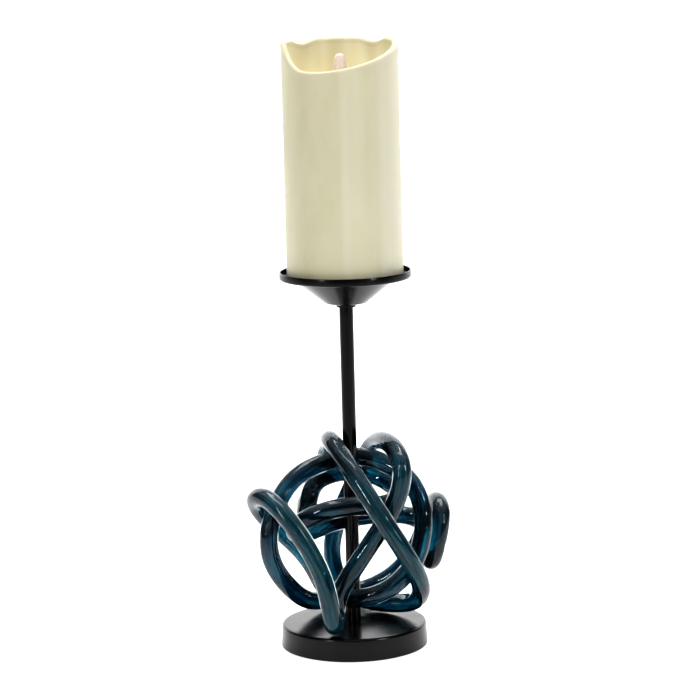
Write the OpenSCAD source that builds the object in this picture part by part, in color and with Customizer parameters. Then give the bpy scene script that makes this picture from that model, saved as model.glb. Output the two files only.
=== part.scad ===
// Glass candlestick: a black base, a knot of bent glass rod threaded on a thin
// stem, a spun pan on top, and a battery candle with a melted rim.
// Origin: centre of the underside. +Z up. The long diagonal of the knot faces -Y.

/* [Stand] */
// width of the round base
base_d = 95; // [80:1:120]
// height of the base
base_h = 15; // [13:0.5:20]
// floor to the top of the pan's rim
stand_h = 245; // [200:1:300]
// width of the stem
stem_d = 9; // [8:0.1:12]

/* [Glass knot] */
// height of the knot
knot_h = 125.5; // [105:0.5:140]

/* [Pan] */
// height of the rim above the underside of the pan's floor
rim_h = 5; // [4:0.5:8]
// sheet the base and pan are made from
sheet = 1; // [0.8:0.1:1.4]
// width of the well's flat bottom end
well_d = 26; // [21:1:34]
// room between the candle and the rim
candle_room = 3.7; // [2:0.1:6]

/* [Candle] */
// width of the wax pillar
candle_d = 75; // [67:1:92]
// height of the wax pillar
candle_h = 150; // [125:1:200]
// thickness of the wax at the rim
wax_wall = 4; // [3:0.1:5]
// width of each round cell
cell_d = 14.2; // [12:0.1:17]
// length of each round cell
cell_h = 50; // [42:0.5:56]

/* [Hidden] */
$fn = 96;
slip = 0.1;                 // room all round a piece that slides or drops in
gap = 0.3;                  // room between neighbours that do not touch

// base
lip_lift = 0.6;             // the shell's edge stays this far above the table
draft = 0.7;                // the base is this much wider at the bottom, each side
base_bend = 1.6;            // rounding of the base's top edge
pad_h = 2;

// stem, and the fastenings on the tie rod inside it
stem_wall = 1;
tie_room = 1;               // between the tie rod and the stem's inside
tie_d = stem_d - 2 * stem_wall - 2 * tie_room;
nut_af = 1.6 * tie_d;
nut_h = 4;
washer_d = tie_d + 8;
washer_h = 1.2;
tie_end = 0.4 * tie_d;      // how far the rod goes past the top nut's flats, into its dome
nut_pocket_d = washer_d + 4;
nut_pocket_h = 8.2;

// collar
stem_sink = 3;              // how far the stem goes down into the ballast
collar_h = 2.5;
collar_d = stem_d + 3.5;
spigot_h = 4;

// pan: a cone-shaped well under a flat floor that is just wide enough to seat the candle
well_slope = 39;            // the cone's wall above level
well_bend = 4;              // rounding where the cone meets the well's flat bottom
flare_r = 5;                // rounding where the cone meets the pan's floor
ledge = 3;                  // flat floor left under the edge of the candle
half_slope = tan(well_slope / 2);
well_top_r = candle_d / 2 - ledge - flare_r * half_slope;
well_deep = (well_top_r - well_d / 2) * tan(well_slope);
pan_floor_z = stand_h - rim_h;
well_z = pan_floor_z - well_deep;
pan_d = candle_d + 2 * (candle_room + sheet);
rim_bend = 1.5;
stem_top = well_z - collar_h;
stem_foot = base_h - sheet - stem_sink;

// candle, measured from its own underside
candle_z = pan_floor_z + sheet;
web_z = candle_h * 0.59;    // underside of the wax web between the core and the recess
web_h = 6;
core_r = candle_d / 2 - 11.5;
core_h = cell_h + 22;
flange_r = core_r + 6.4;
flange_h = 3;
cell_x = cell_d / 2 + 1.4;
cell_z = 12;                // underside of the cells
cell_room = 0.3;            // all round a cell
cap_d = cell_d * 0.38;      // the button on top of a cell
cap_h = 1;
plate_l = 2 * cell_x + 10;
plate_w = 8;
plate_h = 0.8;
plate_pocket_h = 1.2;
spring_wire = 0.9;
cover_r = core_r - 3;
cover_h = 1.9;
cover_z = 0.1;
recess_r = candle_d / 2 - wax_wall;
board_r = core_r - 9;
board_h = 1.6;
board_pocket_h = 6;         // from the board's seat to the top of the core
board_z = core_h - board_pocket_h + slip;
flame_r = 6.5;
flame_h = candle_h / 3;     // length of its narrowing part
flame_root = web_z + 3;     // where the flame starts to narrow
flame_blunt = 0.6;          // 1 gives an even egg, less gives a fuller shape with a blunt tip
lamp_d = 5;
lamp_h = 8.6;
switch_y = -core_r - 3.2;
switch_w = 6;
switch_l = 16;
switch_h = 5;
switch_shift = 0.7;         // the switch's body sits this much nearer the core than its knob
knob_w = 3;
knob_l = 3.4;
knob_travel = 3;
knob_rise = 2.4;            // depth of the knob's slot in the switch
knob_lift = 0.6;            // the knob stays this far inside the underside
screw_d = 2.5;
screw_head_h = 1.6;
screw_bite = 1.8;
screw_ring = board_r - 3.5;
coin_slot_l = 18;
coin_slot_w = 2;
coin_slot_deep = 0.8;

// The melted rim. A slanting run-off falls towards one side and is rounded off at its left end.
run_towards = 240;
run_middle = 6.5;           // how far below the top the slant crosses the candle's middle
run_slant = 17.6;
run_round_towards = 262;
run_round_r = 44;
run_round_aside = 8;
run_round_deep = 30;
run_round_from = -8;
// small dips: angle round the candle, depth, and radius of the round
rim_dips = [[51, 2.5, 15], [134, 2.7, 17]];

// knot: everything in it follows its height
glass_d = knot_h / 10.14;
knot_scale = knot_h / 126.3;
nearest_pass = 11.5 * knot_scale;   // how near the rod's centreline comes to the stem's
knot_opening = max(0, stem_d / 2 + glass_d / 2 + gap - nearest_pass);
rod_steps = 5;              // rings between two guiding points
rod_sides = 10;             // flats round the rod

// The way the glass rod runs, in millimetres above the base, for a knot 126.3 high.
knot_way = [
    // top bend and the long front diagonal
    [-14, 2, 123.5], [-4.5, -22, 113], [11, -38, 91], [25, -45, 69], [38, -42, 47], [46, -26, 26],
    // foot at the right, then up behind the stem
    [40, 4, 9], [22, 19, 6], [4, 26, 6], [-11, 29, 19], [-15, 33, 40], [-10, 34, 60], [0, 37, 81],
    [10, 36, 101],
    // over the right top bend and down across the front
    [16, 28, 115], [24, -4, 121], [32, -27, 116], [34, -34, 102], [28, -30, 82], [14, -28, 61],
    [-1, -28, 39], [-11, -23, 23],
    // foot at the front, up the left leg, over, and down behind it
    [-12, -26, 7], [-13, -41, 5], [-15, -48, 21], [-18, -47, 39], [-28, -45, 61], [-42, -40, 81],
    [-55, -28, 92], [-65, -8, 85], [-55, 8, 66], [-37, 18, 48], [-25, 16, 32], [-21, 5, 23],
    // the big upright ring
    [-11, -10, 19], [2, -17, 18], [20, -22, 23], [36, -19, 35], [45, -15, 52], [48, -9, 73],
    [40, -2, 95], [22, 9, 104], [4, 13.5, 108], [-16, 10, 105], [-36, 3, 98], [-47.5, -5, 83],
    [-54.5, -15, 65], [-54, -14, 45], [-44, -5, 26], [-30, 12, 9],
    // round the back to the small loop on the right
    [-16, 36, 6], [6, 45, 8], [27, 42, 18], [43, 38, 37], [49, 38, 57], [54, 32, 72], [57, 15, 76],
    [59, 3, 71], [57, -1, 57], [53, -2, 43], [51, 6, 35], [49, 19, 41], [49, 21, 54], [44, 17, 64],
    [33, 14, 67],
    // level behind the stem, round its left side, and back as an arch in front
    [18, 17, 67], [0, 17, 65], [-17, 14, 62], [-33, 4, 56], [-40, -9, 63], [-29, -19, 74],
    [-10, -22, 81], [8, -19, 81], [25, -12, 79],
    // round the right of the stem into the inner arch, then up to the top bend
    [34, 5, 83], [20, 18, 92], [3, 20, 96], [-13, 19, 95], [-26, 14, 89], [-28, 6, 77],
    [-31, 14, 68], [-30, 29, 75], [-18, 35, 94], [-13, 30, 113],
];

// ---- shared helpers ----

// Points of an arc, from angle a0 to a1.
function arc(cx, cy, r, a0, a1, n = 12) =
    [for (i = [0:n]) let (a = a0 + (a1 - a0) * i / n) [cx + r * cos(a), cy + r * sin(a)]];

function unit(v) = v / norm(v);

// The part of n that stands square to t.
function square_to(n, t) = unit(n - (n * t) * t);

// One point of the smooth curve that four neighbouring points pull towards them.
function smooth_point(a, b, c, d, t) =
    (a * pow(1 - t, 3) + b * (3 * pow(t, 3) - 6 * t * t + 4)
        + c * (-3 * pow(t, 3) + 3 * t * t + 3 * t + 1) + d * pow(t, 3)) / 6;

// A closed smooth curve through a ring of guiding points.
function smooth_ring(p, steps) =
    let (n = len(p))
    [for (i = [0:n - 1], k = [0:steps - 1])
        smooth_point(p[i], p[(i + 1) % n], p[(i + 2) % n], p[(i + 3) % n], k / steps)];

// Directions square to a curve, carried along it without twisting.
function carried(tangents, first) =
    [for (i = 0, n = square_to(first, tangents[0]);
          i < len(tangents);
          i = i + 1, n = square_to(n, tangents[min(i, len(tangents) - 1)])) n];

function circle_at(p, t, n, r, sides, turn) =
    [for (j = [0:sides - 1]) let (a = turn + 360 * j / sides)
        p + r * (cos(a) * n + sin(a) * cross(t, n))];

// A round rod along a closed curve.
module closed_rod(way, d, sides) {
    count = len(way);
    tangents = [for (i = [0:count - 1]) unit(way[(i + 1) % count] - way[(i + count - 1) % count])];
    normals = carried(tangents, [0.3, 0.2, 1]);
    last = square_to(normals[count - 1], tangents[0]);
    twist = atan2(last * cross(tangents[0], normals[0]), last * normals[0]);
    points = [for (i = [0:count - 1])
        each circle_at(way[i], tangents[i], normals[i], d / 2, sides, -twist * i / count)];
    faces = [for (i = [0:count - 1], j = [0:sides - 1])
        let (a = i * sides + j, b = i * sides + (j + 1) % sides,
             c = ((i + 1) % count) * sides + (j + 1) % sides, e = ((i + 1) % count) * sides + j)
        each [[a, b, c], [a, c, e]]];
    polyhedron(points, faces, convexity = 10);
}

// A round rod along an open curve, with flat ends.
module open_rod(way, d, sides) {
    count = len(way);
    tangents = [for (i = [0:count - 1]) unit(way[min(i + 1, count - 1)] - way[max(i - 1, 0)])];
    normals = carried(tangents, [0, 0, 1]);
    points = [for (i = [0:count - 1]) each circle_at(way[i], tangents[i], normals[i], d / 2, sides, 0)];
    walls = [for (i = [0:count - 2], j = [0:sides - 1])
        let (a = i * sides + j, b = i * sides + (j + 1) % sides)
        each [[a, b, b + sides], [a, b + sides, a + sides]]];
    ends = [[for (j = [sides - 1:-1:0]) j], [for (j = [0:sides - 1]) (count - 1) * sides + j]];
    polyhedron(points, concat(walls, ends), convexity = 10);
}

module ring(outer_d, inner_d, h) {
    difference() {
        cylinder(d = outer_d, h = h);
        translate([0, 0, -1]) cylinder(d = inner_d, h = h + 2);
    }
}

module hexagon(across_flats, h) {
    cylinder(d = across_flats / cos(30), h = h, $fn = 6);
}

// ---- stand ----

// Stamped shell: drafted side, rounded top edge, hole for the stem.
module base_shell() {
    top_r = base_d / 2 - draft;
    outside = concat([[base_d / 2, lip_lift]],
                     arc(top_r - base_bend, base_h - base_bend, base_bend, 0, 90));
    inside = concat([[stem_d / 2 + slip, base_h], [stem_d / 2 + slip, base_h - sheet]],
                    arc(top_r - base_bend, base_h - base_bend, base_bend - sheet, 90, 0),
                    [[base_d / 2 - sheet, lip_lift]]);
    color("#151515") rotate_extrude() polygon(concat(outside, inside));
}

// Ballast disc with a socket for the stem and a pocket for the nut.
module base_weight() {
    color("#555555") difference() {
        translate([0, 0, pad_h])
            cylinder(r1 = base_d / 2 - sheet - gap - draft / 4,
                     r2 = base_d / 2 - draft - base_bend, h = base_h - sheet - pad_h);
        translate([0, 0, stem_foot]) cylinder(d = stem_d + 2 * slip, h = base_h);
        cylinder(d = tie_d + 2 * slip, h = base_h);
        translate([0, 0, -1]) cylinder(d = nut_pocket_d, h = nut_pocket_h + 1);
    }
}

module base_pad() {
    color("#2b2b2b") cylinder(r = base_d / 2 - sheet - gap - draft / 4, h = pad_h);
}

module stem_tube() {
    color("#101010") translate([0, 0, stem_foot])
        ring(stem_d, stem_d - 2 * stem_wall, stem_top - stem_foot);
}

module tie_rod() {
    foot = pad_h + gap;
    color("#8a8d90") translate([0, 0, foot])
        cylinder(d = tie_d, h = well_z + sheet + washer_h + nut_h + tie_end - foot);
}

module foot_washer() {
    color("#8a8d90") translate([0, 0, nut_pocket_h - washer_h])
        ring(washer_d, tie_d + 2 * slip, washer_h);
}

module foot_nut() {
    color("#8a8d90") translate([0, 0, nut_pocket_h - washer_h - nut_h + slip]) difference() {
        hexagon(nut_af, nut_h - slip);
        translate([0, 0, -1]) cylinder(d = tie_d + 2 * slip, h = nut_h + 2);
    }
}

// Ring under the pan, with a spigot that centres it in the stem.
module collar() {
    color("#141414") difference() {
        union() {
            translate([0, 0, stem_top]) rotate_extrude() polygon(concat(
                [[0, 0]], arc(collar_d / 2 - 0.5, 0.5, 0.5, -90, 0, 4),
                arc(collar_d / 2 - 0.5, collar_h - 0.5, 0.5, 0, 90, 4), [[0, collar_h]]));
            translate([0, 0, stem_top - spigot_h])
                cylinder(d = stem_d - 2 * stem_wall - 2 * slip, h = spigot_h + 1);
        }
        translate([0, 0, stem_top - spigot_h - 1])
            cylinder(d = tie_d + 2 * slip, h = spigot_h + collar_h + 2);
    }
}

// Spun dish: upstanding rim, flat floor, cone-shaped well with a rounded bottom.
module pan() {
    bend = [well_d / 2 - well_bend * half_slope, well_z + well_bend];
    flare = [well_top_r + flare_r * half_slope, pan_floor_z - flare_r];
    rim = [pan_d / 2 - rim_bend, pan_floor_z + rim_bend];
    underside = concat(
        [[tie_d / 2 + slip, well_z]],
        arc(bend[0], bend[1], well_bend, -90, well_slope - 90),
        arc(flare[0], flare[1], flare_r, 90 + well_slope, 90),
        arc(rim[0], rim[1], rim_bend, -90, 0, 6),
        [[pan_d / 2, stand_h - sheet / 2]]);
    lip = arc(pan_d / 2 - sheet / 2, stand_h - sheet / 2, sheet / 2, 0, 180, 8);
    upside = concat(
        arc(rim[0], rim[1], rim_bend - sheet, 0, -90, 6),
        arc(flare[0], flare[1], flare_r + sheet, 90, 90 + well_slope),
        arc(bend[0], bend[1], well_bend - sheet, well_slope - 90, -90),
        [[tie_d / 2 + slip, well_z + sheet]]);
    color("#121212") rotate_extrude() polygon(concat(underside, lip, upside));
}

module well_washer() {
    color("#8a8d90") translate([0, 0, well_z + sheet]) ring(washer_d, tie_d + 2 * slip, washer_h);
}

// Domed nut over the end of the tie rod.
module cap_nut() {
    foot = well_z + sheet + washer_h;
    color("#8a8d90") translate([0, 0, foot]) difference() {
        union() {
            hexagon(nut_af, nut_h);
            intersection() {
                translate([0, 0, nut_h - 0.5]) sphere(d = nut_af);
                translate([0, 0, nut_h - 1]) cylinder(d = nut_af, h = nut_af);
            }
        }
        translate([0, 0, -1]) cylinder(d = tie_d + 2 * slip, h = nut_h + tie_end + 1 + slip);
    }
}

// ---- glass ----

// Opens the way round the stem when the stem is thicker than the knot was drawn for.
function opened(p) = p + unit([p[0], p[1], 0]) * knot_opening;

module glass_knot() {
    way = [for (p = knot_way) opened(p * knot_scale) + [0, 0, base_h + gap]];
    color("#0b4a5e") closed_rod(smooth_ring(way, rod_steps), glass_d, rod_sides);
}

// ---- candle ----

module candle_place() {
    translate([0, 0, candle_z]) children();
}

// A dip melted into the rim: where it is, how deep, and how wide its round is.
module rim_dip(angle, depth, r) {
    rotate([0, 0, angle]) translate([wax_wall, 0, candle_h + r - depth]) rotate([0, 90, 0])
        cylinder(r = r, h = candle_d);
}

// The slanting run-off: everything above the slant, as far as the round reaches.
module rim_run_off() {
    intersection() {
        rotate([0, 0, run_towards]) translate([0, 0, candle_h - run_middle]) rotate([0, run_slant, 0])
            translate([-candle_d, -candle_d, 0]) cube(2 * candle_d);
        rotate([0, 0, run_round_towards])
            translate([run_round_from, run_round_aside, candle_h - run_round_deep + run_round_r])
                rotate([0, 90, 0]) cylinder(r = run_round_r, h = candle_d);
    }
}

module wax_shell() {
    r = candle_d / 2;
    recess_z = web_z + web_h;
    color("#e8e2c4") candle_place() difference() {
        rotate_extrude() polygon(concat(
            [[core_r + slip, 0], [r - 1, 0], [r, 1]],
            arc(r - wax_wall / 2, candle_h - wax_wall / 2, wax_wall / 2, 0, 180),
            arc(recess_r - 8, recess_z + 8, 7, 0, -90),
            [[flame_r + gap, recess_z], [flame_r + gap, web_z], [core_r + slip, web_z]]));
        translate([0, 0, -1]) cylinder(r = flange_r + slip, h = flange_h + 1 + slip);
        translate([-switch_l / 2 - gap, switch_y - switch_w / 2 + switch_shift - gap, flange_h])
            cube([switch_l + 2 * gap, switch_w + 4 * gap, switch_h + gap]);   // runs on into the bore
        rim_run_off();
        for (dip = rim_dips) rim_dip(dip[0], dip[1], dip[2]);
    }
}

// Moulded core: flange, cell bores, seat for the cover, slot for the switch.
module candle_core() {
    color("#ddd8c8") candle_place() difference() {
        union() {
            cylinder(r = flange_r, h = flange_h);
            cylinder(r = core_r, h = core_h);
        }
        translate([0, 0, -1]) cylinder(r = cover_r + slip, h = cover_z + cover_h + 1 + slip);
        for (side = [-1, 1]) translate([side * cell_x, 0, -1])
            cylinder(d = cell_d + 2 * cell_room, h = cell_z + cell_h + 1 + slip);
        translate([0, 0, cell_z + cell_h + slip])
            cylinder(r = cell_x + cell_d / 2 + 1, h = plate_pocket_h);
        translate([0, 0, board_z - slip]) cylinder(r = board_r + slip, h = board_pocket_h + 1);
        for (side = [-1, 1]) translate([0, side * screw_ring, board_z - slip - screw_bite])
            cylinder(d = screw_d + 2 * slip, h = board_pocket_h + 1);
        translate([-knob_l / 2 - slip, switch_y - knob_w / 2 - slip, -1])
            cube([knob_l + knob_travel + 2 * slip, knob_w + 2 * slip, flange_h + 2]);
    }
}

module circuit_board() {
    color("#1f6b3a") candle_place() translate([0, 0, board_z]) difference() {
        cylinder(r = board_r, h = board_h);
        for (side = [-1, 1]) translate([0, side * screw_ring, -1])
            cylinder(d = screw_d + 2 * slip, h = board_h + 2);
    }
}

module led() {
    color("#fff0b0") candle_place() translate([0, 0, board_z + board_h]) {
        cylinder(d = lamp_d, h = lamp_h - lamp_d / 2);
        translate([0, 0, lamp_h - lamp_d / 2]) sphere(d = lamp_d);
    }
}

// Clear moulded flame: a skirt round the lamp, through the wax web, up to a blunt tip.
module flame_tip() {
    foot = board_z + board_h + slip;
    dome_z = board_z + board_h + lamp_h - lamp_d / 2;
    skin = [for (i = [0:15]) let (a = 90 * i / 16)
        [flame_r * pow(cos(a), flame_blunt), flame_root + flame_h * sin(a)]];
    color("#fff2d0") candle_place() rotate_extrude() polygon(concat(
        [[lamp_d / 2 + gap, foot], [flame_r, foot]], skin, [[0, flame_root + flame_h]],
        arc(0, dome_z, lamp_d / 2 + gap, 90, 0, 8)));
}

module batteries() {
    color("#2f5f9a") candle_place() for (side = [-1, 1])
        translate([side * cell_x, 0, cell_z]) {
            cylinder(d = cell_d, h = cell_h - cap_h);
            cylinder(d = cap_d, h = cell_h);
        }
}

module contact_plate() {
    color("#b08d57") candle_place() translate([0, 0, cell_z + cell_h + slip])
        intersection() {
            translate([-plate_l / 2, -plate_w / 2, 0]) cube([plate_l, plate_w, plate_h]);
            cylinder(r = cell_x + cell_d / 2 + 1 - 2 * slip, h = plate_h + 1);
        }
}

// One coil under each cell.
module contact_springs() {
    turns = 4;
    coil_r = cell_d * 0.3;
    low = cover_z + cover_h + spring_wire / 2 + gap;
    high = cell_z - spring_wire / 2 - gap;
    way = [for (i = [0:turns * 16]) [coil_r * cos(i * 22.5), coil_r * sin(i * 22.5),
                                     low + (high - low) * i / (turns * 16)]];
    color("#b9bcc0") candle_place() for (side = [-1, 1])
        translate([side * cell_x, 0, 0]) open_rod(way, spring_wire, 6);
}

module core_screws() {
    shank = board_h + screw_bite;
    color("#77797c") candle_place() for (side = [-1, 1])
        translate([0, side * screw_ring, board_z + board_h]) {
            cylinder(d = screw_d * 2, h = screw_head_h);
            translate([0, 0, -shank]) cylinder(d = screw_d, h = shank + 1);
        }
}

module switch_body() {
    color("#222222") candle_place() difference() {
        translate([-switch_l / 2, switch_y - switch_w / 2 + switch_shift, flange_h])
            cube([switch_l, switch_w, switch_h]);
        translate([-knob_l / 2 - slip, switch_y - knob_w / 2 - slip, 0])
            cube([knob_l + knob_travel + 2 * slip, knob_w + 2 * slip, flange_h + knob_rise]);
        cylinder(r = core_r + slip, h = core_h);
    }
}

module switch_knob() {
    color("#0d0d0d") candle_place() translate([-knob_l / 2, switch_y - knob_w / 2, knob_lift])
        cube([knob_l, knob_w, flange_h + knob_rise - 2 * slip - knob_lift]);
}

// Twist-off cover with a coin slot.
module battery_cover() {
    color("#d3cebd") candle_place() translate([0, 0, cover_z]) difference() {
        cylinder(r = cover_r, h = cover_h);
        translate([-coin_slot_l / 2, -coin_slot_w / 2, -1])
            cube([coin_slot_l, coin_slot_w, coin_slot_deep + 1]);
    }
}

base_shell();
base_weight();
base_pad();
stem_tube();
tie_rod();
foot_washer();
foot_nut();
collar();
pan();
well_washer();
cap_nut();
glass_knot();
wax_shell();
candle_core();
circuit_board();
led();
flame_tip();
batteries();
contact_plate();
contact_springs();
core_screws();
switch_body();
switch_knob();
battery_cover();
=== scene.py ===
import bpy
import math
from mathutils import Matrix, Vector, noise


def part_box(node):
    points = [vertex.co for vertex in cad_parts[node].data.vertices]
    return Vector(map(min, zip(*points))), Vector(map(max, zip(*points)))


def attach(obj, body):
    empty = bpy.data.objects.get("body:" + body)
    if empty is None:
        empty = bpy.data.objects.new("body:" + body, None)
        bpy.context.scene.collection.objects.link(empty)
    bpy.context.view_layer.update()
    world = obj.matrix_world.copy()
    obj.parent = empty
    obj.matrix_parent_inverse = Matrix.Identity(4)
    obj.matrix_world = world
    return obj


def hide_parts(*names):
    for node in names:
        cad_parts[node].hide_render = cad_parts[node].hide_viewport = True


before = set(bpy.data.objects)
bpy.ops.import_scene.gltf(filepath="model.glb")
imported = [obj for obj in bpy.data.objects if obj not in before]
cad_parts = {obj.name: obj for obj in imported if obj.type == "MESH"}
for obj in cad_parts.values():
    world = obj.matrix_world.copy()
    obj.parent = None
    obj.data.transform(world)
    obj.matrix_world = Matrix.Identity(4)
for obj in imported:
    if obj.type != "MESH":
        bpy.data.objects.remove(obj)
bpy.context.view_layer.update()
mm = 0.001
print("frame loaded")


def putObject(name, mesh):
    obj = bpy.data.objects.new(name, mesh)
    bpy.context.scene.collection.objects.link(obj)
    return obj


def arcPoints(cx, cz, radius, start, end, steps=8):
    points = []
    for i in range(steps + 1):
        angle = math.radians(start + (end - start) * i / steps)
        points.append((cx + radius * math.cos(angle), cz + radius * math.sin(angle)))
    return points


def turned(name, outline, segments=128, closed=False):
    # turns a list of (radius, height) about the Z axis; points on the axis become one shared vertex
    verts = []
    rows = []
    for radius, height in outline:
        if radius < 1e-7:
            rows.append([len(verts)] * segments)
            verts.append((0, 0, height))
            continue
        rows.append(list(range(len(verts), len(verts) + segments)))
        for i in range(segments):
            angle = 2 * math.pi * i / segments
            verts.append((radius * math.cos(angle), radius * math.sin(angle), height))
    faces = []
    pairs = list(zip(rows, rows[1:]))
    if closed:
        pairs.append((rows[-1], rows[0]))
    for low, high in pairs:
        for i in range(segments):
            k = (i + 1) % segments
            corners = [low[i], low[k], high[k], high[i]]
            corners = [c for n, c in enumerate(corners) if c not in corners[:n]]
            if len(corners) > 2:
                faces.append(corners)
    mesh = bpy.data.meshes.new(name)
    mesh.from_pydata(verts, [], faces)
    finishMesh(mesh)
    return putObject(name, mesh)


def finishMesh(mesh, sharp=40):
    mesh.validate()
    mesh.polygons.foreach_set("use_smooth", [True] * len(mesh.polygons))
    mesh.set_sharp_from_angle(angle=math.radians(sharp))
    mesh.update()


def boxSize(node):
    low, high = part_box(node)
    return low, high


def outerRadius(node):
    low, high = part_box(node)
    return max(high.x, high.y, -low.x, -low.y)


def newMaterial(name):
    material = bpy.data.materials.new(name)
    material.use_nodes = True
    tree = material.node_tree
    tree.nodes.clear()
    out = tree.nodes.new("ShaderNodeOutputMaterial")
    shader = tree.nodes.new("ShaderNodeBsdfPrincipled")
    tree.links.new(shader.outputs["BSDF"], out.inputs["Surface"])
    return material, tree, shader


def addNode(tree, kind, values=None, **settings):
    node = tree.nodes.new(kind)
    for key, value in settings.items():
        setattr(node, key, value)
    for key, value in (values or {}).items():
        if isinstance(value, bpy.types.NodeSocket):
            tree.links.new(value, node.inputs[key])
        else:
            node.inputs[key].default_value = value
    return node


def rampNode(tree, factor, stops):
    node = tree.nodes.new("ShaderNodeValToRGB")
    marks = node.color_ramp.elements
    while len(marks) < len(stops):
        marks.new(0.5)
    for mark, (position, color) in zip(marks, stops):
        mark.position = position
        mark.color = (*color, 1)
    tree.links.new(factor, node.inputs["Fac"])
    return node.outputs["Color"]


def grey(value):
    return (value, value, value)


def noiseNode(tree, vector, scale, detail=4, roughness=0.55, distortion=0.0):
    node = addNode(tree, "ShaderNodeTexNoise",
                   {"Scale": scale, "Detail": detail, "Roughness": roughness, "Distortion": distortion})
    tree.links.new(vector, node.inputs["Vector"])
    return node.outputs["Fac"]


def objectPoint(tree, stretch=(1, 1, 1)):
    place = addNode(tree, "ShaderNodeTexCoord")
    mapped = addNode(tree, "ShaderNodeMapping", {"Vector": place.outputs["Object"], "Scale": stretch})
    return mapped.outputs["Vector"]


def mixColor(tree, factor, a, b):
    # a Mix node keeps its colour sockets at 6 and 7, and its colour result at 2
    node = tree.nodes.new("ShaderNodeMix")
    node.data_type = "RGBA"
    for index, value in ((0, factor), (6, a), (7, b)):
        if isinstance(value, bpy.types.NodeSocket):
            tree.links.new(value, node.inputs[index])
        elif index == 0:
            node.inputs[index].default_value = value
        else:
            node.inputs[index].default_value = (*value, 1)
    return node.outputs[2]


def mathNode(tree, operation, a, b=0.0, c=0.0):
    node = tree.nodes.new("ShaderNodeMath")
    node.operation = operation
    for index, value in enumerate((a, b, c)):
        if isinstance(value, bpy.types.NodeSocket):
            tree.links.new(value, node.inputs[index])
        else:
            node.inputs[index].default_value = value
    return node.outputs[0]


def smoothShare(tree, value, start, end, most=1.0):
    # 0 at start, "most" at end, easing in and out
    node = addNode(tree, "ShaderNodeMapRange",
                   {"Value": value, "From Min": start, "From Max": end, "To Max": most},
                   interpolation_type="SMOOTHSTEP")
    return node.outputs["Result"]


def axisOf(tree, vector, axis):
    return addNode(tree, "ShaderNodeSeparateXYZ", {"Vector": vector}).outputs[axis]


def flowPoint(tree, around, along):
    # the rod's own coordinates: round it, and how far along it in centimetres, each stretched
    flow = addNode(tree, "ShaderNodeAttribute", attribute_name="flow").outputs["Vector"]
    mapped = addNode(tree, "ShaderNodeMapping", {"Vector": flow, "Scale": (around, around, along)})
    return mapped.outputs["Vector"]


def bumpNode(tree, height, strength, distance):
    node = addNode(tree, "ShaderNodeBump", {"Strength": strength, "Distance": distance, "Height": height})
    return node.outputs["Normal"]


def setShader(shader, **values):
    names = {"color": "Base Color", "metallic": "Metallic", "roughness": "Roughness", "ior": "IOR",
             "transmission": "Transmission Weight", "coat": "Coat Weight",
             "specular": "Specular IOR Level", "subsurface": "Subsurface Weight",
             "subsurfaceRadius": "Subsurface Radius", "subsurfaceScale": "Subsurface Scale",
             "sheen": "Sheen Weight", "emission": "Emission Color", "emissionStrength": "Emission Strength",
             "normal": "Normal"}
    tree = shader.id_data
    for key, value in values.items():
        socket = shader.inputs[names[key]]
        if isinstance(value, bpy.types.NodeSocket):
            tree.links.new(value, socket)
        elif key in ("color", "emission"):
            socket.default_value = (*value, 1)
        else:
            socket.default_value = value


def makeBlackEnamel():
    look = {"low": (0.0025, 0.0025, 0.003), "high": (0.006, 0.006, 0.0065), "dust": (0.05, 0.05, 0.05),
            "peel": 900, "cloud": 55}
    material, tree, shader = newMaterial("blackEnamel")
    point = objectPoint(tree)
    cloud = noiseNode(tree, point, look["cloud"], 5)
    speck = noiseNode(tree, point, 2600, 2, 0.7)
    base = rampNode(tree, cloud, [(0.35, look["low"]), (0.7, look["high"])])
    specks = rampNode(tree, speck, [(0.72, grey(0)), (0.78, grey(0.4))])
    setShader(shader, color=mixColor(tree, specks, base, look["dust"]))
    rough = rampNode(tree, cloud, [(0.3, grey(0.16)), (0.7, grey(0.24))])
    setShader(shader, roughness=rough, specular=0.3)
    peel = noiseNode(tree, point, look["peel"], 2)
    setShader(shader, normal=bumpNode(tree, peel, 0.1, 0.0002))
    return material


def makeSteel():
    material, tree, shader = newMaterial("zincSteel")
    point = objectPoint(tree, (1, 1, 6))
    cloud = noiseNode(tree, point, 240, 4)
    setShader(shader, color=rampNode(tree, cloud, [(0.3, (0.42, 0.43, 0.45)), (0.7, (0.62, 0.63, 0.65))]),
              metallic=1.0, roughness=rampNode(tree, cloud, [(0.3, grey(0.25)), (0.7, grey(0.42))]),
              normal=bumpNode(tree, noiseNode(tree, point, 1400, 2), 0.15, 0.0001))
    return material


def makeCastIron():
    material, tree, shader = newMaterial("castIron")
    point = objectPoint(tree)
    grain = noiseNode(tree, point, 700, 5, 0.7)
    setShader(shader, color=rampNode(tree, grain, [(0.3, grey(0.03)), (0.75, (0.1, 0.09, 0.085))]),
              metallic=0.6, roughness=0.65, normal=bumpNode(tree, grain, 0.6, 0.0004))
    return material


def makeFelt():
    material, tree, shader = newMaterial("blackFelt")
    point = objectPoint(tree)
    fibre = noiseNode(tree, point, 1800, 6, 0.75, 1.5)
    setShader(shader, color=rampNode(tree, fibre, [(0.3, grey(0.012)), (0.75, grey(0.07))]),
              roughness=0.95, sheen=0.4, normal=bumpNode(tree, fibre, 0.8, 0.0005))
    return material


def makePlainPlastic(name, low, high, roughness):
    material, tree, shader = newMaterial(name)
    point = objectPoint(tree)
    cloud = noiseNode(tree, point, 90, 3)
    setShader(shader, color=rampNode(tree, cloud, [(0.3, low), (0.7, high)]),
              roughness=rampNode(tree, cloud, [(0.3, grey(roughness)), (0.7, grey(roughness + 0.1))]),
              normal=bumpNode(tree, noiseNode(tree, point, 1500, 2), 0.1, 0.0001))
    return material


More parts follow.
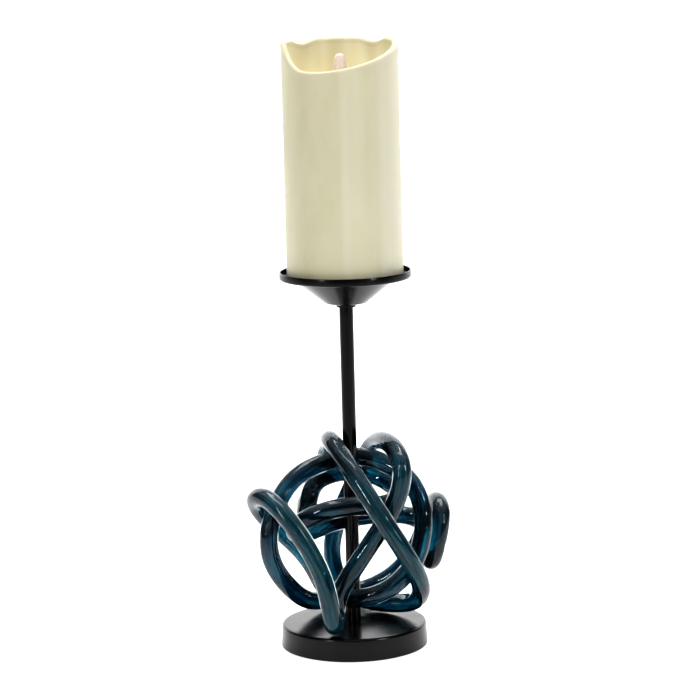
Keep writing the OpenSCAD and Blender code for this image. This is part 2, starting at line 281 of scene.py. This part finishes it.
def makeBoard():
    material, tree, shader = newMaterial("circuitGreen")
    point = objectPoint(tree)
    track = addNode(tree, "ShaderNodeTexVoronoi", {"Vector": point, "Scale": 420.0},
                    feature="DISTANCE_TO_EDGE", distance="MANHATTAN")
    line = rampNode(tree, track.outputs["Distance"], [(0.03, grey(1)), (0.06, grey(0))])
    setShader(shader, color=mixColor(tree, line, (0.01, 0.09, 0.03), (0.03, 0.22, 0.08)), roughness=0.35,
              normal=bumpNode(tree, line, 0.3, 0.0001))
    return material


def makeBrass():
    material, tree, shader = newMaterial("brassStrip")
    point = objectPoint(tree, (1, 8, 1))
    brushed = noiseNode(tree, point, 500, 3)
    setShader(shader, color=rampNode(tree, brushed, [(0.3, (0.45, 0.3, 0.1)), (0.7, (0.7, 0.52, 0.24))]),
              metallic=1.0, roughness=rampNode(tree, brushed, [(0.3, grey(0.25)), (0.7, grey(0.4))]))
    return material


# where the rod runs, in mm above the base, for a knot 126.3 mm high; the same guiding points as the CAD
knotWay = [
    # top bend and the long front diagonal
    (-14, 2, 123.5), (-4.5, -22, 113), (11, -38, 91), (25, -45, 69), (38, -42, 47), (46, -26, 26),
    # foot at the right, then up behind the stem
    (40, 4, 9), (22, 19, 6), (4, 26, 6), (-11, 29, 19), (-15, 33, 40), (-10, 34, 60), (0, 37, 81),
    (10, 36, 101),
    # over the right top bend and down across the front
    (16, 28, 115), (24, -4, 121), (32, -27, 116), (34, -34, 102), (28, -30, 82), (14, -28, 61),
    (-1, -28, 39), (-11, -23, 23),
    # foot at the front, up the left leg, over, and down behind it
    (-12, -26, 7), (-13, -41, 5), (-15, -48, 21), (-18, -47, 39), (-28, -45, 61), (-42, -40, 81),
    (-55, -28, 92), (-65, -8, 85), (-55, 8, 66), (-37, 18, 48), (-25, 16, 32), (-21, 5, 23),
    # the big upright ring
    (-11, -10, 19), (2, -17, 18), (20, -22, 23), (36, -19, 35), (45, -15, 52), (48, -9, 73),
    (40, -2, 95), (22, 9, 104), (4, 13.5, 108), (-16, 10, 105), (-36, 3, 98), (-47.5, -5, 83),
    (-54.5, -15, 65), (-54, -14, 45), (-44, -5, 26), (-30, 12, 9),
    # round the back to the small loop on the right
    (-16, 36, 6), (6, 45, 8), (27, 42, 18), (43, 38, 37), (49, 38, 57), (54, 32, 72), (57, 15, 76),
    (59, 3, 71), (57, -1, 57), (53, -2, 43), (51, 6, 35), (49, 19, 41), (49, 21, 54), (44, 17, 64),
    (33, 14, 67),
    # level behind the stem, round its left side, and back as an arch in front
    (18, 17, 67), (0, 17, 65), (-17, 14, 62), (-33, 4, 56), (-40, -9, 63), (-29, -19, 74),
    (-10, -22, 81), (8, -19, 81), (25, -12, 79),
    # round the right of the stem into the inner arch, then up to the top bend
    (34, 5, 83), (20, 18, 92), (3, 20, 96), (-13, 19, 95), (-26, 14, 89), (-28, 6, 77),
    (-31, 14, 68), (-30, 29, 75), (-18, 35, 94), (-13, 30, 113),
]


def makeGuide(points, scale, lift):
    curve = bpy.data.curves.new("knotGuide", "CURVE")
    curve.dimensions = "3D"
    curve.resolution_u = 16
    spline = curve.splines.new("NURBS")
    spline.points.add(len(points) - 1)
    for place, (x, y, z) in zip(spline.points, points):
        place.co = (x * mm * scale, y * mm * scale, z * mm * scale + lift, 1)
    spline.order_u = 4
    spline.use_cyclic_u = True
    guide = bpy.data.objects.new("knotGuide", curve)
    bpy.context.scene.collection.objects.link(guide)
    return guide


def groupInput(tree, name, kind, default=None):
    socket = tree.interface.new_socket(name=name, in_out="INPUT", socket_type=kind)
    if default is not None:
        socket.default_value = default
    return socket


def makeRodTree():
    # a round rod swept along a guide curve; its thickness wavers, and "flow" says where a point is on the rod
    tree = bpy.data.node_groups.new("rodAlongGuide", "GeometryNodeTree")
    groupInput(tree, "Geometry", "NodeSocketGeometry")
    groupInput(tree, "Guide", "NodeSocketObject")
    groupInput(tree, "Radius", "NodeSocketFloat", 0.006)
    groupInput(tree, "Sides", "NodeSocketInt", 32)
    groupInput(tree, "Rings", "NodeSocketInt", 1000)
    groupInput(tree, "Waver", "NodeSocketFloat", 0.02)
    groupInput(tree, "Seed", "NodeSocketFloat", 3.0)
    groupInput(tree, "Material", "NodeSocketMaterial")
    tree.interface.new_socket(name="Geometry", in_out="OUTPUT", socket_type="NodeSocketGeometry")
    given = tree.nodes.new("NodeGroupInput").outputs
    out = tree.nodes.new("NodeGroupOutput")

    guide = addNode(tree, "GeometryNodeObjectInfo", {"Object": given["Guide"]}, transform_space="ORIGINAL")
    even = addNode(tree, "GeometryNodeResampleCurve", {"Curve": guide.outputs["Geometry"],
                                                       "Count": given["Rings"]})
    along = tree.nodes.new("GeometryNodeSplineParameter")
    place = tree.nodes.new("GeometryNodeInputPosition")
    drift = addNode(tree, "ShaderNodeTexNoise",
                    {"Vector": place.outputs[0], "W": given["Seed"], "Scale": 22.0, "Detail": 1.0},
                    noise_dimensions="4D")
    offset = mathNode(tree, "SUBTRACT", drift.outputs["Fac"], 0.65)
    swell = mathNode(tree, "MULTIPLY_ADD", offset, given["Waver"], 1.0)
    wavered = addNode(tree, "GeometryNodeSetCurveRadius", {"Curve": even.outputs[0], "Radius": swell})
    keepAlong = addNode(tree, "GeometryNodeCaptureAttribute", {"Geometry": wavered.outputs[0]})
    keepAlong.capture_items.new("FLOAT", "along")
    tree.links.new(along.outputs["Length"], keepAlong.inputs["along"])

    circle = addNode(tree, "GeometryNodeCurvePrimitiveCircle", {"Resolution": given["Sides"],
                                                                "Radius": given["Radius"]})
    around = tree.nodes.new("GeometryNodeSplineParameter")
    keepAround = addNode(tree, "GeometryNodeCaptureAttribute", {"Geometry": circle.outputs[0]})
    keepAround.capture_items.new("FLOAT", "around")
    turn = mathNode(tree, "MULTIPLY", around.outputs["Factor"], 2 * math.pi)
    tree.links.new(turn, keepAround.inputs["around"])

    rod = addNode(tree, "GeometryNodeCurveToMesh", {"Curve": keepAlong.outputs["Geometry"],
                                                    "Profile Curve": keepAround.outputs["Geometry"]})
    if "Scale" in rod.inputs:
        size = tree.nodes.new("GeometryNodeInputRadius")
        tree.links.new(size.outputs[0], rod.inputs["Scale"])
    turnOut = keepAround.outputs["around"]
    distance = mathNode(tree, "MULTIPLY", keepAlong.outputs["along"], 100.0)
    flow = addNode(tree, "ShaderNodeCombineXYZ", {"X": mathNode(tree, "COSINE", turnOut),
                                                  "Y": mathNode(tree, "SINE", turnOut), "Z": distance})
    stored = addNode(tree, "GeometryNodeStoreNamedAttribute", {"Geometry": rod.outputs[0], "Name": "flow"},
                     data_type="FLOAT_VECTOR", domain="POINT")
    tree.links.new(flow.outputs[0], stored.inputs["Value"])
    smooth = addNode(tree, "GeometryNodeSetShadeSmooth", {"Geometry": stored.outputs[0]})
    real = addNode(tree, "GeometryNodeRealizeInstances", {"Geometry": smooth.outputs[0]})
    painted = addNode(tree, "GeometryNodeSetMaterial", {"Geometry": real.outputs[0],
                                                        "Material": given["Material"]})
    tree.links.new(painted.outputs[0], out.inputs["Geometry"])
    return tree


def grownPiece(name, tree, inputs, material):
    # runs a node tree on an empty mesh and keeps the result as a plain mesh
    obj = putObject(name, bpy.data.meshes.new(name))
    modifier = obj.modifiers.new("grow", "NODES")
    modifier.node_group = tree
    ids = {item.name: item.identifier for item in tree.interface.items_tree
           if item.item_type == "SOCKET" and item.in_out == "INPUT"}
    for key, value in inputs.items():
        modifier[ids[key]] = value
    modifier[ids["Material"]] = material
    obj.update_tag()
    bpy.context.view_layer.update()
    evaluated = obj.evaluated_get(bpy.context.evaluated_depsgraph_get())
    plain = bpy.data.meshes.new_from_object(evaluated)
    plain.name = name
    obj.modifiers.remove(modifier)
    obj.data = plain
    return obj


def makeCasingGlass():
    # the haze colour and its range paint the overhead softbox's reflection onto the upper faces, partly dust
    look = {"clear": (0.93, 0.985, 1.0), "tinted": (0.99, 1.0, 1.0), "dustAndPaintedGlare": (0.26, 0.34, 0.38),
            "dustAndGlareFrom": 0.32, "dustAndGlareTo": 1.0, "dustAndGlareMost": 0.55}
    material, tree, shader = newMaterial("clearCasing")
    reeds = noiseNode(tree, flowPoint(tree, 1.0, 0.35), 2.2, 3, 0.5)
    tint = rampNode(tree, reeds, [(0.3, look["clear"]), (0.7, look["tinted"])])
    setShader(shader, color=tint, roughness=0.01, ior=1.47, specular=0.22, transmission=1.0,
              normal=bumpNode(tree, reeds, 0.1, 0.0005))
    # a milky grey wherever the rod faces up, broken by fine streaks along the rod: a painted reflection of
    # the overhead softbox, partly dust
    facing = tree.nodes.new("ShaderNodeNewGeometry").outputs["Normal"]
    rise = smoothShare(tree, axisOf(tree, facing, "Z"), look["dustAndGlareFrom"], look["dustAndGlareTo"], look["dustAndGlareMost"])
    drawn = noiseNode(tree, flowPoint(tree, 6.0, 0.3), 2.5, 4, 0.65)
    grain = rampNode(tree, drawn, [(0.38, grey(0.25)), (0.62, grey(1))])
    dustAndGlareCover = mathNode(tree, "MULTIPLY", rise, grain)
    dustAndPaintedGlare = tree.nodes.new("ShaderNodeBsdfPrincipled")
    setShader(dustAndPaintedGlare, color=look["dustAndPaintedGlare"], roughness=0.12, specular=0.5)
    mixed = tree.nodes.new("ShaderNodeMixShader")
    tree.links.new(dustAndGlareCover, mixed.inputs[0])
    tree.links.new(shader.outputs["BSDF"], mixed.inputs[1])
    tree.links.new(dustAndPaintedGlare.outputs["BSDF"], mixed.inputs[2])
    tree.links.new(mixed.outputs[0], tree.nodes["Material Output"].inputs["Surface"])
    return material


def makeCoreGlass():
    # the worked colour and its range paint the front strands lighter and greener, standing in for the front
    # light
    look = {"ink": (0.0003, 0.003, 0.009), "navy": (0.0004, 0.015, 0.042), "teal": (0.001, 0.062, 0.095),
            "bright": (0.004, 0.22, 0.34), "thread": (0.2, 0.36, 0.4), "paintedFrontLight": (0.009, 0.11, 0.145),
            "paintedFrontLightFrom": -20 * mm, "paintedFrontLightTo": -40 * mm}
    material, tree, shader = newMaterial("blueCore")
    bands = noiseNode(tree, flowPoint(tree, 1.0, 0.18), 1.3, 3, 0.5, 0.3)
    streaks = noiseNode(tree, flowPoint(tree, 2.4, 0.13), 2.4, 5, 0.6)
    colour = rampNode(tree, bands, [(0.3, look["ink"]), (0.44, look["navy"]), (0.6, look["teal"]),
                                    (0.76, look["bright"])])
    lines = rampNode(tree, streaks, [(0.54, grey(0)), (0.58, grey(0.35)), (0.61, grey(0)), (0.66, grey(0)),
                                     (0.7, grey(0.4))])
    # bubbles, a little long, in patches
    seeds = addNode(tree, "ShaderNodeTexVoronoi", {"Vector": flowPoint(tree, 2.2, 1.1), "Scale": 1.6})
    dots = rampNode(tree, seeds.outputs["Distance"], [(0.13, grey(1)), (0.22, grey(0))])
    spread = noiseNode(tree, flowPoint(tree, 1.0, 1.0), 0.5, 2)
    patches = rampNode(tree, spread, [(0.45, grey(0)), (0.65, grey(0.5))])
    dotted = mathNode(tree, "MULTIPLY", dots, patches)
    # painted light: the outermost strands in front are milkier and greener, standing in for the front light
    # falling on them
    paintedFrontLight = smoothShare(tree, axisOf(tree, objectPoint(tree), "Y"), look["paintedFrontLightFrom"], look["paintedFrontLightTo"])
    frontLightMilk = mathNode(tree, "MULTIPLY", paintedFrontLight, rampNode(tree, streaks, [(0.42, grey(0.15)), (0.55, grey(1))]))
    streaked = mixColor(tree, lines, mixColor(tree, frontLightMilk, colour, look["paintedFrontLight"]), look["thread"])
    clear = rampNode(tree, bands, [(0.36, grey(0.35)), (0.6, grey(0.85))])
    passing = mathNode(tree, "MULTIPLY", clear, mathNode(tree, "MULTIPLY_ADD", paintedFrontLight, -0.6, 1.0))
    setShader(shader, color=mixColor(tree, dotted, streaked, look["thread"]),
              roughness=0.06, specular=0.0, ior=1.03, transmission=passing,
              normal=bumpNode(tree, streaks, 0.3, 0.0004))
    return material


def buildKnot():
    # heightInRods: the knot's height over the rod's thickness; drawnHeight: of knotWay
    piece = {"heightInRods": 10.14, "drawnHeight": 126.3 * mm, "lift": 0.3 * mm, "casingShare": 0.99,
             "coreShare": 0.63}
    low, high = boxSize("glass_knot")
    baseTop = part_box("base_shell")[1].z
    rodRadius = (high.z - low.z) / piece["heightInRods"] / 2
    scale = (high.z - low.z) / piece["drawnHeight"]
    guide = makeGuide(knotWay, scale, baseTop + piece["lift"])
    tree = makeRodTree()
    outside = {"Guide": guide, "Radius": rodRadius * piece["casingShare"], "Sides": 28, "Rings": 1250,
               "Waver": 0.025, "Seed": 3.0}
    inside = {"Guide": guide, "Radius": rodRadius * piece["coreShare"], "Sides": 18, "Rings": 900,
              "Waver": 0.1, "Seed": 8.0}
    casing = grownPiece("glassKnot", tree, outside, makeCasingGlass())
    core = grownPiece("glassKnotCore", tree, inside, makeCoreGlass())
    bpy.data.objects.remove(guide)
    for obj in (casing, core):
        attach(obj, "knot")
    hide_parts("glass_knot")
    print("knot box", [round(v, 4) for v in low], [round(v, 4) for v in high])


def buildBase(enamel):
    piece = {"sheet": 1.0 * mm, "bend": 1.6 * mm, "draft": 0.7 * mm, "hole": 4.6 * mm, "roll": 0.25 * mm}
    low, high = boxSize("base_shell")
    radius = outerRadius("base_shell")
    top = radius - piece["draft"]
    bend = piece["bend"]
    outline = [(piece["hole"], high.z - piece["sheet"]), (piece["hole"], high.z - piece["roll"])]
    outline += arcPoints(piece["hole"] + piece["roll"], high.z - piece["roll"], piece["roll"], 180, 90, 4)
    outline += [(top * share, high.z) for share in (0.25, 0.5, 0.75, 0.9)]
    outline += arcPoints(top - bend, high.z - bend, bend, 90, 4, 10)
    outline += [(top + piece["draft"] * share, high.z - bend - (high.z - bend - low.z) * share)
                for share in (0.3, 0.6, 0.9)]
    edge = piece["sheet"] / 2
    outline += arcPoints(radius - edge, low.z + edge, edge, 0, -180, 8)
    outline += arcPoints(top - bend, high.z - bend, bend - piece["sheet"], 4, 90, 6)
    obj = turned("baseShell", outline[::-1], 192, closed=True)
    obj.data.materials.append(enamel)
    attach(obj, "holder")
    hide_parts("base_shell")


def buildPad(felt):
    low, high = boxSize("base_pad")
    radius = outerRadius("base_pad")
    soft = 0.6 * mm
    outline = [(0, low.z)] + [(radius * share, low.z) for share in (0.3, 0.6, 0.85)]
    outline += arcPoints(radius - soft, low.z + soft, soft, -90, 0, 5)
    outline += arcPoints(radius - soft, high.z - soft, soft, 0, 90, 5) + [(0, high.z)]
    obj = turned("feltPad", outline, 160)
    obj.data.materials.append(felt)
    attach(obj, "holder")
    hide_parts("base_pad")


def buildStem(enamel):
    low, high = boxSize("stem_tube")
    radius = outerRadius("stem_tube") * 0.999
    wall = 1 * mm
    steps = 40
    outline = [(radius - wall, low.z), (radius - 0.3 * mm, low.z)]
    for i in range(1, steps):
        height = low.z + (high.z - low.z) * i / steps
        ripple = noise.noise(Vector((height * 60, 3.1, 0))) * 0.03 * mm
        outline.append((radius - 0.03 * mm + ripple, height))
    outline += arcPoints(radius - 0.35 * mm, high.z - 0.3 * mm, 0.3 * mm, 0, 90, 4)
    outline += [(radius - wall, high.z)]
    obj = turned("stemTube", outline, 64, closed=True)
    obj.data.materials.append(enamel)
    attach(obj, "holder")
    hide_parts("stem_tube")


def buildCollar(enamel):
    low, high = boxSize("collar")
    radius = outerRadius("collar")
    bevel = 0.5 * mm
    foot = high.z - 2.5 * mm
    bore = 2.6 * mm
    spigot = 3.4 * mm
    outline = [(bore, low.z), (spigot, low.z), (spigot, foot)]
    outline += arcPoints(radius - bevel, foot + bevel, bevel, -90, 0, 5)
    outline += [(radius - 0.12 * mm, (foot + high.z) / 2)]
    outline += arcPoints(radius - bevel, high.z - bevel, bevel, 0, 90, 5) + [(bore, high.z)]
    obj = turned("collar", outline, 96, closed=True)
    obj.data.materials.append(enamel)
    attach(obj, "holder")
    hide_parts("collar")


def buildPan(enamel):
    piece = {"sheet": 1.0 * mm, "flare": 5 * mm, "wellBend": 4 * mm, "rimBend": 1.5 * mm, "well": 13 * mm,
             "slope": 39, "rim": 5 * mm, "hole": 2.6 * mm, "groove": 0.02 * mm, "grooves": 30}
    low, high = boxSize("pan")
    radius = outerRadius("pan")
    sheet = piece["sheet"]
    floor = high.z - piece["rim"]
    slope = piece["slope"]
    flare, bend, rim = piece["flare"], piece["wellBend"], piece["rimBend"]
    half = math.tan(math.radians(slope / 2))
    corner = piece["well"] + (floor - low.z) / math.tan(math.radians(slope))
    bendAt = (piece["well"] - bend * half, low.z + bend)
    flareAt = (corner + flare * half, floor - flare)
    under = [(piece["hole"], low.z)]
    under += arcPoints(*bendAt, bend, -90, slope - 90, 8)
    under += arcPoints(*flareAt, flare, 90 + slope, 90, 8)
    under += arcPoints(radius - rim, floor + rim, rim, -90, 0, 8)
    lip = arcPoints(radius - sheet / 2, high.z - sheet / 2, sheet / 2, 0, 180, 8)
    upper = arcPoints(radius - rim, floor + rim, rim - sheet, 0, -90, 6)
    # spinning marks on the floor
    for i in range(piece["grooves"]):
        share = (i + 1) / (piece["grooves"] + 1)
        across = (radius - rim) + (flareAt[0] - radius + rim) * share
        upper.append((across, floor + sheet - (i % 2) * piece["groove"]))
    upper += arcPoints(*flareAt, flare + sheet, 90, 90 + slope, 8)
    upper += arcPoints(*bendAt, bend - sheet, slope - 90, -90, 8)
    upper += [(piece["hole"], low.z + sheet)]
    obj = turned("spunPan", under + lip + upper, 192, closed=True)
    obj.data.materials.append(enamel)
    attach(obj, "holder")
    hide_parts("pan")


# how the rim has melted: a slanting run-off to the front left, rounded at its left end, and small dips, in mm
runOff = {"towards": 240, "atMiddle": 6.5, "slant": 17.6, "roundTowards": 262, "roundAside": 8,
          "roundDeep": 30, "roundRadius": 44, "from": -8}
rimDips = [(51, 2.5, 15), (134, 2.7, 17)]


def scoopDepth(aside, deep, radius):
    if abs(aside) >= radius:
        return -99
    return deep - (radius - math.sqrt(radius * radius - aside * aside))


def meltAt(angle, radius):
    # radius and result in metres; the cuts run together softly
    radius = radius / mm
    fall = math.tan(math.radians(runOff["slant"]))
    slant = runOff["atMiddle"] + fall * radius * math.cos(angle - math.radians(runOff["towards"]))
    turn = angle - math.radians(runOff["roundTowards"])
    rounding = scoopDepth(radius * math.sin(turn) - runOff["roundAside"], runOff["roundDeep"],
                          runOff["roundRadius"])
    blend = 2.2
    cut = -blend * math.log(math.exp(-slant / blend) + math.exp(-min(rounding, 40) / blend))
    if radius * math.cos(turn) < runOff["from"]:
        cut = min(cut, -2)
    total = math.exp(cut / 0.8)
    for place, depth, scoop in rimDips:
        turn = (angle - math.radians(place) + math.pi) % (2 * math.pi) - math.pi
        if abs(turn) < math.pi / 2:
            total += math.exp(scoopDepth(radius * math.sin(turn), depth, scoop) / 0.8)
    return 0.8 * mm * math.log(1 + total)


def makeWax():
    look = {"low": (0.52, 0.5, 0.355), "high": (0.585, 0.565, 0.43), "paintedSheen": (0.64, 0.62, 0.51), "mottle": 26}
    material, tree, shader = newMaterial("creamWax")
    cloud = noiseNode(tree, objectPoint(tree, (1, 1, 0.45)), look["mottle"], 5, 0.6)
    frost = noiseNode(tree, objectPoint(tree, (1, 1, 0.3)), 260, 4)
    color = rampNode(tree, cloud, [(0.3, look["low"]), (0.7, look["high"])])
    # paler upright bands, a painted sheen
    bands = noiseNode(tree, objectPoint(tree, (1, 1, 0.02)), 42, 2)
    color = mixColor(tree, rampNode(tree, bands, [(0.5, grey(0)), (0.68, grey(0.75))]), color, look["paintedSheen"])
    # painted glow: the inner wall and floor of the wax emit warm light by their glow share, standing in for
    # the LED lighting them from inside
    glow = addNode(tree, "ShaderNodeAttribute", attribute_name="glow").outputs["Fac"]
    paintedLedGlow = rampNode(tree, glow, [(0.0, (0, 0, 0)), (0.25, (0.03, 0.027, 0.02)), (0.5, (0.3, 0.28, 0.2)),
                                 (1.0, (0.85, 0.66, 0.28))])
    setShader(shader, color=color, subsurface=0.4, subsurfaceRadius=(1.0, 0.65, 0.35), subsurfaceScale=0.005,
              roughness=rampNode(tree, frost, [(0.3, grey(0.45)), (0.7, grey(0.58))]), specular=0.25,
              emission=paintedLedGlow, emissionStrength=0.5,
              normal=bumpNode(tree, frost, 0.15, 0.0006))
    return material


def buildWax():
    piece = {"steps": 240, "wall": 4 * mm, "recess": 94.5 * mm, "flame": 6.8 * mm, "coreHole": 26.1 * mm,
             "flangeHole": 32.5 * mm, "flange": 3.1 * mm, "web": 88.5 * mm}
    low, high = boxSize("wax_shell")
    radius = outerRadius("wax_shell") - 0.15 * mm
    steps = piece["steps"]
    wall = piece["wall"]
    floor = low.z + piece["recess"]
    outline = [(piece["coreHole"], piece["web"]), (piece["coreHole"], piece["flange"]),
               (piece["flangeHole"], piece["flange"]), (piece["flangeHole"], 0.0), (radius - 1.2 * mm, 0.0)]
    verts = []
    glow = []
    rings = 0
    for i in range(steps):
        angle = 2 * math.pi * i / steps
        c, s = math.cos(angle), math.sin(angle)
        top = high.z - meltAt(angle, radius - wall / 2)
        column = [(r, low.z + z, 0) for r, z in outline]
        column += [(r, z, 0) for r, z in arcPoints(radius - 1.2 * mm, low.z + 1.2 * mm, 1.2 * mm, -60, 0, 3)]
        outerTop = top - wall / 2
        for k in range(1, 26):
            z = low.z + 1.2 * mm + (outerTop - low.z - 1.2 * mm) * k / 26
            dent = noise.noise(Vector((c * 1.3, s * 1.3, z * 14))) * 0.12 * mm
            column.append((radius - 0.12 * mm + dent, z, 0))
        column += [(r, z, 0) for r, z in arcPoints(radius - wall / 2, outerTop, wall / 2, 0, 180, 10)]
        inner = radius - wall
        # inside, the third value of each point is its share of the painted glow, growing down the inner wall
        # to the floor
        for k in range(1, 20):
            share = k / 20
            z = outerTop + (floor + 6 * mm - outerTop) * share
            drip = noise.noise(Vector((c * 2.5, s * 2.5, 4 + z * 9))) * 0.5 * mm
            column.append((inner - 1.0 * mm * share + drip * math.sin(math.pi * share), z, 0.3 + 0.6 * share))
        column += [(r, z, 1) for r, z in arcPoints(inner - 7 * mm, floor + 6 * mm, 6 * mm, 0, -90, 6)]
        for share in (0.3, 0.6, 0.85):
            r = inner - 7 * mm + (piece["flame"] + 0.8 * mm - inner + 7 * mm) * share
            column.append((r, floor + noise.noise(Vector((c * r * 120, s * r * 120, 9))) * 0.3 * mm, 1))
        column += [(piece["flame"], floor, 1), (piece["flame"], low.z + piece["web"], 0)]
        rings = len(column)
        for r, z, g in column:
            verts.append((r * c, r * s, min(z, high.z)))
            glow.append(g)
    faces = []
    for i in range(steps):
        k = (i + 1) % steps
        for j in range(rings):
            n = (j + 1) % rings
            faces.append((i * rings + j, k * rings + j, k * rings + n, i * rings + n))
    mesh = bpy.data.meshes.new("waxPillar")
    mesh.from_pydata(verts, [], faces)
    layer = mesh.attributes.new("glow", "FLOAT", "POINT")
    layer.data.foreach_set("value", glow)
    finishMesh(mesh, 50)
    obj = putObject("waxPillar", mesh)
    obj.data.materials.append(makeWax())
    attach(obj, "candle")
    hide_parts("wax_shell")


def makeFlame():
    material, tree, shader = newMaterial("flameGlow")
    point = objectPoint(tree)
    height = addNode(tree, "ShaderNodeSeparateXYZ", {"Vector": point}).outputs["Z"]
    low, high = boxSize("flame_tip")
    share = mathNode(tree, "DIVIDE", mathNode(tree, "SUBTRACT", height, low.z), high.z - low.z)
    setShader(shader, color=rampNode(tree, share, [(0.3, (0.7, 0.52, 0.34)), (0.8, (0.66, 0.6, 0.56))]),
              subsurface=0.5, subsurfaceRadius=(1, 0.5, 0.25), subsurfaceScale=0.004, roughness=0.3, coat=0.3,
              emission=rampNode(tree, share, [(0.3, (1.0, 0.55, 0.15)), (0.6, (0.5, 0.3, 0.14)),
                                              (0.8, (0.02, 0.014, 0.01))]),
              emissionStrength=0.35,
              normal=bumpNode(tree, noiseNode(tree, point, 300, 3), 0.2, 0.0004))
    return material


def buildFlame():
    piece = {"straight": 0.32, "blunt": 0.6, "bore": 2.9 * mm}
    low, high = boxSize("flame_tip")
    radius = outerRadius("flame_tip")
    root = low.z + (high.z - low.z) * piece["straight"]
    outline = [(piece["bore"], low.z), (radius, low.z), (radius, root)]
    for i in range(1, 24):
        turn = math.pi / 2 * i / 24
        outline.append((radius * math.cos(turn) ** piece["blunt"], root + (high.z - root) * math.sin(turn)))
    outline += [(0, high.z)]
    obj = turned("flameTip", outline, 48)
    obj.data.materials.append(makeFlame())
    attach(obj, "candle")
    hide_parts("flame_tip")


def paintSlots():
    cream = makePlainPlastic("coreCream", (0.5, 0.47, 0.38), (0.6, 0.57, 0.47), 0.4)
    black = makePlainPlastic("blackPlastic", grey(0.01), grey(0.02), 0.4)
    wrap = makePlainPlastic("cellWrap", (0.02, 0.06, 0.18), (0.03, 0.09, 0.26), 0.25)
    lamp = makePlainPlastic("lampDome", (0.9, 0.7, 0.35), (1.0, 0.8, 0.45), 0.15)
    steel = makeSteel()
    looks = {"base_weight": makeCastIron(), "tie_rod": steel, "foot_washer": steel, "foot_nut": steel,
             "well_washer": steel, "cap_nut": steel, "candle_core": cream, "battery_cover": cream,
             "circuit_board": makeBoard(), "led": lamp, "batteries": wrap, "contact_plate": makeBrass(),
             "contact_springs": steel, "core_screws": steel, "switch_body": black, "switch_knob": black}
    for node, material in looks.items():
        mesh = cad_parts[node].data
        mesh.materials.clear()
        mesh.materials.append(material)


def makeStageWhite(name, glow, fadeFrom=None, fadeTo=None):
    material, tree, shader = newMaterial(name)
    point = objectPoint(tree)
    cloud = noiseNode(tree, point, 3, 3)
    setShader(shader, color=rampNode(tree, cloud, [(0.3, grey(0.88)), (0.7, grey(0.9))]), roughness=0.7,
              specular=0.1, emission=(1, 1, 1), emissionStrength=glow)
    if fadeFrom is not None:
        # lit from below towards the back, plain at the front
        share = smoothShare(tree, axisOf(tree, point, "Y"), fadeFrom, fadeTo)
        setShader(shader, emissionStrength=mathNode(tree, "MULTIPLY", share, glow))
    return material


def buildStage():
    studio = {"floor": 30, "wallAt": 2.6, "wallWide": 3.2, "wallHigh": 3.0, "floorGlow": 0.6,
              "wallGlow": 1.05, "fadeFrom": -0.5, "fadeTo": 0.1, "room": 0.13}
    size = studio["floor"]
    floor = putObject("floor", bpy.data.meshes.new("floor"))
    floor.data.from_pydata([(-size, -size, 0), (size, -size, 0), (size, size, 0), (-size, size, 0)], [],
                           [(0, 1, 2, 3)])
    floor.data.materials.append(makeStageWhite("paleFloor", studio["floorGlow"], studio["fadeFrom"],
                                               studio["fadeTo"]))
    wall = putObject("backdrop", bpy.data.meshes.new("backdrop"))
    half, back, high = studio["wallWide"], studio["wallAt"], studio["wallHigh"]
    wall.data.from_pydata([(-half, back, 0), (half, back, 0), (half, back, high), (-half, back, high)], [],
                          [(0, 1, 2, 3)])
    wall.data.materials.append(makeStageWhite("litBackdrop", studio["wallGlow"]))
    world = bpy.data.worlds.new("studio")
    bpy.context.scene.world = world
    world.use_nodes = True
    world.node_tree.nodes["Background"].inputs["Color"].default_value = (1.0, 1.0, 1.0, 1)
    world.node_tree.nodes["Background"].inputs["Strength"].default_value = studio["room"]


def addSoftbox(name, place, aim, width, height, power, tint=(1, 1, 1)):
    data = bpy.data.lights.new(name, "AREA")
    data.shape = "RECTANGLE"
    data.size = width
    data.size_y = height
    data.energy = power
    data.color = tint
    lamp = bpy.data.objects.new(name, data)
    lamp.location = place
    lamp.rotation_euler = (Vector(aim) - Vector(place)).to_track_quat("-Z", "Y").to_euler()
    bpy.context.scene.collection.objects.link(lamp)


def buildLights():
    middle = (0, 0, 0.2)
    addSoftbox("overhead", (0, 0.15, 1.2), middle, 0.8, 0.8, 9)
    addSoftbox("fillLeft", (-1.3, -1.5, 0.8), (0, 0, 0.3), 0.1, 1.0, 13)
    addSoftbox("stripRight", (1.1, -1.0, 0.75), middle, 0.04, 1.1, 8)


def buildCamera():
    shot = {"place": (0, -1.76, 0.49), "aim": (0, 0, 0.1935), "lens": 143.5, "roll": -1.5, "shift": 0.004}
    data = bpy.data.cameras.new("camera")
    data.lens = shot["lens"]
    data.sensor_width = 36
    data.shift_x = shot["shift"]
    cam = bpy.data.objects.new("camera", data)
    cam.location = shot["place"]
    look = (Vector(shot["aim"]) - Vector(shot["place"])).to_track_quat("-Z", "Y")
    cam.rotation_euler = look.to_euler()
    cam.rotation_euler.rotate_axis("Z", math.radians(shot["roll"]))
    bpy.context.scene.collection.objects.link(cam)
    bpy.context.scene.camera = cam


enamel = makeBlackEnamel()
buildBase(enamel)
buildPad(makeFelt())
buildStem(enamel)
buildCollar(enamel)
buildPan(enamel)
print("metal done")
buildKnot()
print("glass done")
buildWax()
buildFlame()
print("candle done")
paintSlots()
buildStage()
buildLights()
buildCamera()
bpy.context.scene.view_settings.view_transform = "Standard"
bpy.context.scene.view_settings.look = "High Contrast"
